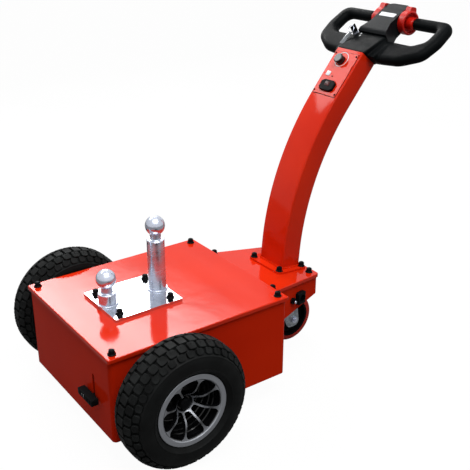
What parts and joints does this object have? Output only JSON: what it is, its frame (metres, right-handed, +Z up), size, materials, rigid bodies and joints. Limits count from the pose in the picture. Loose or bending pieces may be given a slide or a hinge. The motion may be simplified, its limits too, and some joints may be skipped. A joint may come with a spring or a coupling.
{
  "type": "electric tow tug",
  "caption": "Pedestrian electric tow tug: red sheet-steel box on air tyres with dished rims, ball couplings on a plate, curved tiller with looped handle, rear caster.",
  "frame": {"origin": "on the ground, under the middle of the overall length and width", "axes": "+X towards the end with the tow balls, +Y towards the side with the charging socket, +Z up"},
  "size_m": [1.1126, 0.688, 0.9379],
  "materials": {
    "red_paint": "gloss",
    "zinc_steel": "satin",
    "black_moulding": "matte",
    "red_moulding": "gloss",
    "bright_metal": "polished",
    "black_steel": "satin",
    "pedal_rubber": "matte",
    "drive_casting": "rough",
    "battery_case": "matte",
    "tyre": "matte",
    "alloy_rim": "machined",
    "core_moulding": "matte",
    "red_tread": "satin"
  },
  "bodies": {
    "chassis": {"chassis_box": "red_paint", "main_cover": "red_paint", "drive_unit": "drive_casting", "battery_pack": "battery_case", "axle_tube_left": "black_steel", "axle_tube_right": "black_steel", "pedal_arm": "black_steel", "brake_pedal": "pedal_rubber", "pedal_bracket": "black_steel", "coupling_plate": "zinc_steel", "short_ball_post": "zinc_steel", "tall_ball_post": "zinc_steel", "tongue_walls": "red_paint", "tongue_belly": "red_paint", "tongue_cover": "red_paint", "charge_socket": "black_moulding", "circuit_breaker": "black_moulding", "caster_mount": "red_paint", "caster_top_plate": "zinc_steel", "tiller_base_plate": "red_paint", "tiller_column": "red_paint", "control_panel": "red_paint", "speed_knob": "black_moulding", "charge_gauge": "black_moulding", "handle_loop": "black_moulding", "control_housing": "black_moulding", "thumb_lever_left": "red_moulding", "thumb_lever_right": "red_moulding", "key_switch": "bright_metal", "key": "black_moulding"},
    "left_wheel": {"tyre_left": "tyre", "rim_left": "alloy_rim", "hub_left": "black_steel", "hub_nut_left": "black_steel"},
    "right_wheel": {"tyre_right": "tyre", "rim_right": "alloy_rim", "hub_right": "black_steel", "hub_nut_right": "black_steel"},
    "caster_yoke": {"caster_fork": "zinc_steel", "caster_axle_bolt": "zinc_steel"},
    "caster_wheel": {"caster_core": "core_moulding", "caster_tread": "red_tread"}
  },
  "joints": [
    {"name": "left_wheel_spin", "type": "hinge", "parent": "chassis", "child": "left_wheel", "pos_m": [0.39099, 0.2895, 0.1615], "axis": [0, 1, 0], "continuous": true},
    {"name": "right_wheel_spin", "type": "hinge", "parent": "chassis", "child": "right_wheel", "pos_m": [0.39099, -0.2895, 0.1615], "axis": [0, 1, 0], "continuous": true},
    {"name": "caster_swivel", "type": "hinge", "parent": "chassis", "child": "caster_yoke", "pos_m": [-0.11701, 0, 0.155], "axis": [0, 0, 1], "continuous": true},
    {"name": "caster_wheel_spin", "type": "hinge", "parent": "caster_yoke", "child": "caster_wheel", "pos_m": [-0.15901, 0, 0.0725], "axis": [0, 1, 0], "continuous": true}
  ]
}
